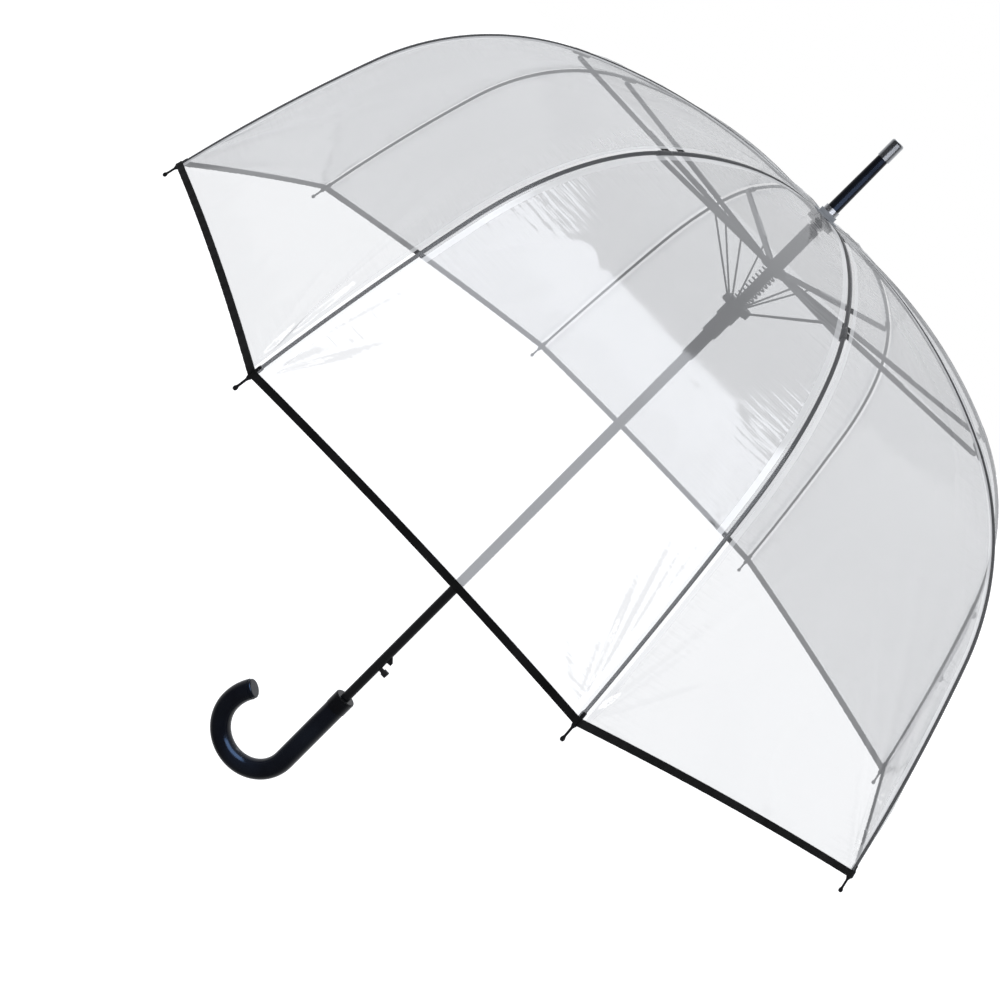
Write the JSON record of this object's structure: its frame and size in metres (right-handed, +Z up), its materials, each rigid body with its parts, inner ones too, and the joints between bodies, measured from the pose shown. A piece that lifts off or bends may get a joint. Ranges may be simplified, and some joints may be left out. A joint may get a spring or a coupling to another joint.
{
  "type": "bubble umbrella",
  "caption": "Open clear dome umbrella with flat-sided film panels, black hem and ribs, slim shaft, crook handle and long ferrule; the canopy folds down along the shaft.",
  "frame": {"origin": "middle of the straight grip, on the shaft axis", "axes": "+Z up the shaft to the ferrule, crook bends towards -X, push button faces +X"},
  "size_m": [0.874, 0.874, 0.9175],
  "materials": {
    "film": "clear soft film with a wet gloss, black fabric binding along its hem",
    "rib": "black glass-fibre rod, metal tip pin",
    "stretcher": "black painted steel channel",
    "wire": "zinc-plated steel wire",
    "dark_plastic": "black moulded plastic",
    "shaft": "black painted steel tube",
    "handle": "glossy black plastic",
    "ferrule": "black plastic",
    "chrome": "polished chrome plate"
  },
  "bodies": {
    "frame": {"shaft_tube": "shaft", "handle_crook": "handle", "handle_collar": "chrome", "ferrule": "ferrule", "ferrule_fittings": "chrome", "crown_washer": "dark_plastic", "top_notch": "dark_plastic"},
    "runner": {"runner": "dark_plastic"},
    "hub": {"stretcher_hub": "dark_plastic", "opening_spring": "wire"},
    "push_button": {"push_button": "chrome"},
    "runner_catch": {"runner_catch": "wire"},
    "rib_upper_1": {"rib_upper_1": "rib"},
    "rib_lower_1": {"rib_lower_1": "rib"},
    "stretcher_1": {"stretcher_1": "stretcher"},
    "link_1": {"link_1": "wire"},
    "panel_upper_1": {"panel_upper_1": "film"},
    "panel_lower_1": {"panel_lower_1": "film"},
    "rib_upper_2": {"rib_upper_2": "rib"},
    "rib_lower_2": {"rib_lower_2": "rib"},
    "stretcher_2": {"stretcher_2": "stretcher"},
    "link_2": {"link_2": "wire"},
    "panel_upper_2": {"panel_upper_2": "film"},
    "panel_lower_2": {"panel_lower_2": "film"},
    "rib_upper_3": {"rib_upper_3": "rib"},
    "rib_lower_3": {"rib_lower_3": "rib"},
    "stretcher_3": {"stretcher_3": "stretcher"},
    "link_3": {"link_3": "wire"},
    "panel_upper_3": {"panel_upper_3": "film"},
    "panel_lower_3": {"panel_lower_3": "film"},
    "rib_upper_4": {"rib_upper_4": "rib"},
    "rib_lower_4": {"rib_lower_4": "rib"},
    "stretcher_4": {"stretcher_4": "stretcher"},
    "link_4": {"link_4": "wire"},
    "panel_upper_4": {"panel_upper_4": "film"},
    "panel_lower_4": {"panel_lower_4": "film"},
    "rib_upper_5": {"rib_upper_5": "rib"},
    "rib_lower_5": {"rib_lower_5": "rib"},
    "stretcher_5": {"stretcher_5": "stretcher"},
    "link_5": {"link_5": "wire"},
    "panel_upper_5": {"panel_upper_5": "film"},
    "panel_lower_5": {"panel_lower_5": "film"},
    "rib_upper_6": {"rib_upper_6": "rib"},
    "rib_lower_6": {"rib_lower_6": "rib"},
    "stretcher_6": {"stretcher_6": "stretcher"},
    "link_6": {"link_6": "wire"},
    "panel_upper_6": {"panel_upper_6": "film"},
    "panel_lower_6": {"panel_lower_6": "film"},
    "rib_upper_7": {"rib_upper_7": "rib"},
    "rib_lower_7": {"rib_lower_7": "rib"},
    "stretcher_7": {"stretcher_7": "stretcher"},
    "link_7": {"link_7": "wire"},
    "panel_upper_7": {"panel_upper_7": "film"},
    "panel_lower_7": {"panel_lower_7": "film"},
    "rib_upper_8": {"rib_upper_8": "rib"},
    "rib_lower_8": {"rib_lower_8": "rib"},
    "stretcher_8": {"stretcher_8": "stretcher"},
    "link_8": {"link_8": "wire"},
    "panel_upper_8": {"panel_upper_8": "film"},
    "panel_lower_8": {"panel_lower_8": "film"}
  },
  "joints": [
    {"name": "runner_slide", "type": "slide", "parent": "frame", "child": "runner", "axis": [0, 0, -1], "range_m": [0, 0.41884], "stiffness_N_per_m": 40, "springref_m": -0.3, "deforming": ["opening_spring", "panel_upper_1", "panel_upper_2", "panel_upper_3", "panel_upper_4", "panel_upper_5", "panel_upper_6", "panel_upper_7", "panel_upper_8", "panel_lower_1", "panel_lower_2", "panel_lower_3", "panel_lower_4", "panel_lower_5", "panel_lower_6", "panel_lower_7", "panel_lower_8"]},
    {"name": "hub_slide", "type": "slide", "parent": "frame", "child": "hub", "axis": [0, 0, -1], "range_m": [0, 0.45308]},
    {"name": "rib_hinge_1", "type": "hinge", "parent": "frame", "child": "rib_upper_1", "pos_m": [0.00949, 0.00393, 0.7227], "axis": [-0.3827, 0.9239, 0], "range_deg": [0, 77.96]},
    {"name": "rib_flex_1", "type": "hinge", "parent": "rib_upper_1", "child": "rib_lower_1", "pos_m": [0.28618, 0.11854, 0.65877], "axis": [-0.3827, 0.9239, 0], "range_deg": [-51.28, 0]},
    {"name": "stretcher_hinge_1", "type": "hinge", "parent": "hub", "child": "stretcher_1", "pos_m": [0.00878, 0.00364, 0.661], "axis": [-0.3827, 0.9239, 0], "range_deg": [-83.81, 0]},
    {"name": "link_hinge_1", "type": "hinge", "parent": "runner", "child": "link_1", "pos_m": [0.01201, 0.00498, 0.613], "axis": [-0.3827, 0.9239, 0], "range_deg": [-53.66, 0]},
    {"name": "panel_hinge_1", "type": "hinge", "parent": "frame", "child": "panel_upper_1", "pos_m": [0.00739, 0, 0.7255], "axis": [0, 1, 0], "range_deg": [0, 73.83]},
    {"name": "panel_flex_1", "type": "hinge", "parent": "panel_upper_1", "child": "panel_lower_1", "pos_m": [0.28774, 0, 0.66124], "axis": [0, 1, 0], "range_deg": [-47.49, 0]},
    {"name": "rib_hinge_2", "type": "hinge", "parent": "frame", "child": "rib_upper_2", "pos_m": [0.00393, 0.00949, 0.7227], "axis": [-0.9239, 0.3827, 0], "range_deg": [0, 77.96]},
    {"name": "rib_flex_2", "type": "hinge", "parent": "rib_upper_2", "child": "rib_lower_2", "pos_m": [0.11854, 0.28618, 0.65877], "axis": [-0.9239, 0.3827, 0], "range_deg": [-51.28, 0]},
    {"name": "stretcher_hinge_2", "type": "hinge", "parent": "hub", "child": "stretcher_2", "pos_m": [0.00364, 0.00878, 0.661], "axis": [-0.9239, 0.3827, 0], "range_deg": [-83.81, 0]},
    {"name": "link_hinge_2", "type": "hinge", "parent": "runner", "child": "link_2", "pos_m": [0.00498, 0.01201, 0.613], "axis": [-0.9239, 0.3827, 0], "range_deg": [-53.66, 0]},
    {"name": "panel_hinge_2", "type": "hinge", "parent": "frame", "child": "panel_upper_2", "pos_m": [0.00523, 0.00523, 0.7255], "axis": [-0.7071, 0.7071, 0], "range_deg": [0, 73.83]},
    {"name": "panel_flex_2", "type": "hinge", "parent": "panel_upper_2", "child": "panel_lower_2", "pos_m": [0.20347, 0.20347, 0.66124], "axis": [-0.7071, 0.7071, 0], "range_deg": [-47.49, 0]},
    {"name": "rib_hinge_3", "type": "hinge", "parent": "frame", "child": "rib_upper_3", "pos_m": [-0.00393, 0.00949, 0.7227], "axis": [-0.9239, -0.3827, 0], "range_deg": [0, 77.96]},
    {"name": "rib_flex_3", "type": "hinge", "parent": "rib_upper_3", "child": "rib_lower_3", "pos_m": [-0.11854, 0.28618, 0.65877], "axis": [-0.9239, -0.3827, 0], "range_deg": [-51.28, 0]},
    {"name": "stretcher_hinge_3", "type": "hinge", "parent": "hub", "child": "stretcher_3", "pos_m": [-0.00364, 0.00878, 0.661], "axis": [-0.9239, -0.3827, 0], "range_deg": [-83.81, 0]},
    {"name": "link_hinge_3", "type": "hinge", "parent": "runner", "child": "link_3", "pos_m": [-0.00498, 0.01201, 0.613], "axis": [-0.9239, -0.3827, 0], "range_deg": [-53.66, 0]},
    {"name": "panel_hinge_3", "type": "hinge", "parent": "frame", "child": "panel_upper_3", "pos_m": [0, 0.00739, 0.7255], "axis": [-1, 0, 0], "range_deg": [0, 73.83]},
    {"name": "panel_flex_3", "type": "hinge", "parent": "panel_upper_3", "child": "panel_lower_3", "pos_m": [0, 0.28774, 0.66124], "axis": [-1, 0, 0], "range_deg": [-47.49, 0]},
    {"name": "rib_hinge_4", "type": "hinge", "parent": "frame", "child": "rib_upper_4", "pos_m": [-0.00949, 0.00393, 0.7227], "axis": [-0.3827, -0.9239, 0], "range_deg": [0, 77.96]},
    {"name": "rib_flex_4", "type": "hinge", "parent": "rib_upper_4", "child": "rib_lower_4", "pos_m": [-0.28618, 0.11854, 0.65877], "axis": [-0.3827, -0.9239, 0], "range_deg": [-51.28, 0]},
    {"name": "stretcher_hinge_4", "type": "hinge", "parent": "hub", "child": "stretcher_4", "pos_m": [-0.00878, 0.00364, 0.661], "axis": [-0.3827, -0.9239, 0], "range_deg": [-83.81, 0]},
    {"name": "link_hinge_4", "type": "hinge", "parent": "runner", "child": "link_4", "pos_m": [-0.01201, 0.00498, 0.613], "axis": [-0.3827, -0.9239, 0], "range_deg": [-53.66, 0]},
    {"name": "panel_hinge_4", "type": "hinge", "parent": "frame", "child": "panel_upper_4", "pos_m": [-0.00523, 0.00523, 0.7255], "axis": [-0.7071, -0.7071, 0], "range_deg": [0, 73.83]},
    {"name": "panel_flex_4", "type": "hinge", "parent": "panel_upper_4", "child": "panel_lower_4", "pos_m": [-0.20347, 0.20347, 0.66124], "axis": [-0.7071, -0.7071, 0], "range_deg": [-47.49, 0]},
    {"name": "rib_hinge_5", "type": "hinge", "parent": "frame", "child": "rib_upper_5", "pos_m": [-0.00949, -0.00393, 0.7227], "axis": [0.3827, -0.9239, 0], "range_deg": [0, 77.96]},
    {"name": "rib_flex_5", "type": "hinge", "parent": "rib_upper_5", "child": "rib_lower_5", "pos_m": [-0.28618, -0.11854, 0.65877], "axis": [0.3827, -0.9239, 0], "range_deg": [-51.28, 0]},
    {"name": "stretcher_hinge_5", "type": "hinge", "parent": "hub", "child": "stretcher_5", "pos_m": [-0.00878, -0.00364, 0.661], "axis": [0.3827, -0.9239, 0], "range_deg": [-83.81, 0]},
    {"name": "link_hinge_5", "type": "hinge", "parent": "runner", "child": "link_5", "pos_m": [-0.01201, -0.00498, 0.613], "axis": [0.3827, -0.9239, 0], "range_deg": [-53.66, 0]},
    {"name": "panel_hinge_5", "type": "hinge", "parent": "frame", "child": "panel_upper_5", "pos_m": [-0.00739, 0, 0.7255], "axis": [0, -1, 0], "range_deg": [0, 73.83]},
    {"name": "panel_flex_5", "type": "hinge", "parent": "panel_upper_5", "child": "panel_lower_5", "pos_m": [-0.28774, 0, 0.66124], "axis": [0, -1, 0], "range_deg": [-47.49, 0]},
    {"name": "rib_hinge_6", "type": "hinge", "parent": "frame", "child": "rib_upper_6", "pos_m": [-0.00393, -0.00949, 0.7227], "axis": [0.9239, -0.3827, 0], "range_deg": [0, 77.96]},
    {"name": "rib_flex_6", "type": "hinge", "parent": "rib_upper_6", "child": "rib_lower_6", "pos_m": [-0.11854, -0.28618, 0.65877], "axis": [0.9239, -0.3827, 0], "range_deg": [-51.28, 0]},
    {"name": "stretcher_hinge_6", "type": "hinge", "parent": "hub", "child": "stretcher_6", "pos_m": [-0.00364, -0.00878, 0.661], "axis": [0.9239, -0.3827, 0], "range_deg": [-83.81, 0]},
    {"name": "link_hinge_6", "type": "hinge", "parent": "runner", "child": "link_6", "pos_m": [-0.00498, -0.01201, 0.613], "axis": [0.9239, -0.3827, 0], "range_deg": [-53.66, 0]},
    {"name": "panel_hinge_6", "type": "hinge", "parent": "frame", "child": "panel_upper_6", "pos_m": [-0.00523, -0.00523, 0.7255], "axis": [0.7071, -0.7071, 0], "range_deg": [0, 73.83]},
    {"name": "panel_flex_6", "type": "hinge", "parent": "panel_upper_6", "child": "panel_lower_6", "pos_m": [-0.20347, -0.20347, 0.66124], "axis": [0.7071, -0.7071, 0], "range_deg": [-47.49, 0]},
    {"name": "rib_hinge_7", "type": "hinge", "parent": "frame", "child": "rib_upper_7", "pos_m": [0.00393, -0.00949, 0.7227], "axis": [0.9239, 0.3827, 0], "range_deg": [0, 77.96]},
    {"name": "rib_flex_7", "type": "hinge", "parent": "rib_upper_7", "child": "rib_lower_7", "pos_m": [0.11854, -0.28618, 0.65877], "axis": [0.9239, 0.3827, 0], "range_deg": [-51.28, 0]},
    {"name": "stretcher_hinge_7", "type": "hinge", "parent": "hub", "child": "stretcher_7", "pos_m": [0.00364, -0.00878, 0.661], "axis": [0.9239, 0.3827, 0], "range_deg": [-83.81, 0]},
    {"name": "link_hinge_7", "type": "hinge", "parent": "runner", "child": "link_7", "pos_m": [0.00498, -0.01201, 0.613], "axis": [0.9239, 0.3827, 0], "range_deg": [-53.66, 0]},
    {"name": "panel_hinge_7", "type": "hinge", "parent": "frame", "child": "panel_upper_7", "pos_m": [0, -0.00739, 0.7255], "axis": [1, 0, 0], "range_deg": [0, 73.83]},
    {"name": "panel_flex_7", "type": "hinge", "parent": "panel_upper_7", "child": "panel_lower_7", "pos_m": [0, -0.28774, 0.66124], "axis": [1, 0, 0], "range_deg": [-47.49, 0]},
    {"name": "rib_hinge_8", "type": "hinge", "parent": "frame", "child": "rib_upper_8", "pos_m": [0.00949, -0.00393, 0.7227], "axis": [0.3827, 0.9239, 0], "range_deg": [0, 77.96]},
    {"name": "rib_flex_8", "type": "hinge", "parent": "rib_upper_8", "child": "rib_lower_8", "pos_m": [0.28618, -0.11854, 0.65877], "axis": [0.3827, 0.9239, 0], "range_deg": [-51.28, 0]},
    {"name": "stretcher_hinge_8", "type": "hinge", "parent": "hub", "child": "stretcher_8", "pos_m": [0.00878, -0.00364, 0.661], "axis": [0.3827, 0.9239, 0], "range_deg": [-83.81, 0]},
    {"name": "link_hinge_8", "type": "hinge", "parent": "runner", "child": "link_8", "pos_m": [0.01201, -0.00498, 0.613], "axis": [0.3827, 0.9239, 0], "range_deg": [-53.66, 0]},
    {"name": "panel_hinge_8", "type": "hinge", "parent": "frame", "child": "panel_upper_8", "pos_m": [0.00523, -0.00523, 0.7255], "axis": [0.7071, 0.7071, 0], "range_deg": [0, 73.83]},
    {"name": "panel_flex_8", "type": "hinge", "parent": "panel_upper_8", "child": "panel_lower_8", "pos_m": [0.20347, -0.20347, 0.66124], "axis": [0.7071, 0.7071, 0], "range_deg": [-47.49, 0]},
    {"name": "button_press", "type": "slide", "parent": "frame", "child": "push_button", "axis": [-1, 0, 0], "range_m": [0, 0.002], "stiffness_N_per_m": 800, "springref_m": -0.002},
    {"name": "catch_press", "type": "slide", "parent": "frame", "child": "runner_catch", "axis": [-1, 0, 0], "range_m": [0, 0.004], "stiffness_N_per_m": 600, "springref_m": -0.002}
  ],
  "couplings": [
    {"joint": "hub_slide", "follows": "runner_slide", "ratio": 1.0813},
    {"joint": "rib_hinge_1", "follows": "runner_slide", "rad_per_m": 3.2464},
    {"joint": "rib_flex_1", "follows": "runner_slide", "rad_per_m": -2.135},
    {"joint": "stretcher_hinge_1", "follows": "runner_slide", "rad_per_m": -3.4902},
    {"joint": "link_hinge_1", "follows": "runner_slide", "rad_per_m": -2.2338},
    {"joint": "panel_hinge_1", "follows": "runner_slide", "rad_per_m": 3.0745},
    {"joint": "panel_flex_1", "follows": "runner_slide", "rad_per_m": -1.9769},
    {"joint": "rib_hinge_2", "follows": "runner_slide", "rad_per_m": 3.2464},
    {"joint": "rib_flex_2", "follows": "runner_slide", "rad_per_m": -2.135},
    {"joint": "stretcher_hinge_2", "follows": "runner_slide", "rad_per_m": -3.4902},
    {"joint": "link_hinge_2", "follows": "runner_slide", "rad_per_m": -2.2338},
    {"joint": "panel_hinge_2", "follows": "runner_slide", "rad_per_m": 3.0745},
    {"joint": "panel_flex_2", "follows": "runner_slide", "rad_per_m": -1.9769},
    {"joint": "rib_hinge_3", "follows": "runner_slide", "rad_per_m": 3.2464},
    {"joint": "rib_flex_3", "follows": "runner_slide", "rad_per_m": -2.135},
    {"joint": "stretcher_hinge_3", "follows": "runner_slide", "rad_per_m": -3.4902},
    {"joint": "link_hinge_3", "follows": "runner_slide", "rad_per_m": -2.2338},
    {"joint": "panel_hinge_3", "follows": "runner_slide", "rad_per_m": 3.0745},
    {"joint": "panel_flex_3", "follows": "runner_slide", "rad_per_m": -1.9769},
    {"joint": "rib_hinge_4", "follows": "runner_slide", "rad_per_m": 3.2464},
    {"joint": "rib_flex_4", "follows": "runner_slide", "rad_per_m": -2.135},
    {"joint": "stretcher_hinge_4", "follows": "runner_slide", "rad_per_m": -3.4902},
    {"joint": "link_hinge_4", "follows": "runner_slide", "rad_per_m": -2.2338},
    {"joint": "panel_hinge_4", "follows": "runner_slide", "rad_per_m": 3.0745},
    {"joint": "panel_flex_4", "follows": "runner_slide", "rad_per_m": -1.9769},
    {"joint": "rib_hinge_5", "follows": "runner_slide", "rad_per_m": 3.2464},
    {"joint": "rib_flex_5", "follows": "runner_slide", "rad_per_m": -2.135},
    {"joint": "stretcher_hinge_5", "follows": "runner_slide", "rad_per_m": -3.4902},
    {"joint": "link_hinge_5", "follows": "runner_slide", "rad_per_m": -2.2338},
    {"joint": "panel_hinge_5", "follows": "runner_slide", "rad_per_m": 3.0745},
    {"joint": "panel_flex_5", "follows": "runner_slide", "rad_per_m": -1.9769},
    {"joint": "rib_hinge_6", "follows": "runner_slide", "rad_per_m": 3.2464},
    {"joint": "rib_flex_6", "follows": "runner_slide", "rad_per_m": -2.135},
    {"joint": "stretcher_hinge_6", "follows": "runner_slide", "rad_per_m": -3.4902},
    {"joint": "link_hinge_6", "follows": "runner_slide", "rad_per_m": -2.2338},
    {"joint": "panel_hinge_6", "follows": "runner_slide", "rad_per_m": 3.0745},
    {"joint": "panel_flex_6", "follows": "runner_slide", "rad_per_m": -1.9769},
    {"joint": "rib_hinge_7", "follows": "runner_slide", "rad_per_m": 3.2464},
    {"joint": "rib_flex_7", "follows": "runner_slide", "rad_per_m": -2.135},
    {"joint": "stretcher_hinge_7", "follows": "runner_slide", "rad_per_m": -3.4902},
    {"joint": "link_hinge_7", "follows": "runner_slide", "rad_per_m": -2.2338},
    {"joint": "panel_hinge_7", "follows": "runner_slide", "rad_per_m": 3.0745},
    {"joint": "panel_flex_7", "follows": "runner_slide", "rad_per_m": -1.9769},
    {"joint": "rib_hinge_8", "follows": "runner_slide", "rad_per_m": 3.2464},
    {"joint": "rib_flex_8", "follows": "runner_slide", "rad_per_m": -2.135},
    {"joint": "stretcher_hinge_8", "follows": "runner_slide", "rad_per_m": -3.4902},
    {"joint": "link_hinge_8", "follows": "runner_slide", "rad_per_m": -2.2338},
    {"joint": "panel_hinge_8", "follows": "runner_slide", "rad_per_m": 3.0745},
    {"joint": "panel_flex_8", "follows": "runner_slide", "rad_per_m": -1.9769}
  ]
}
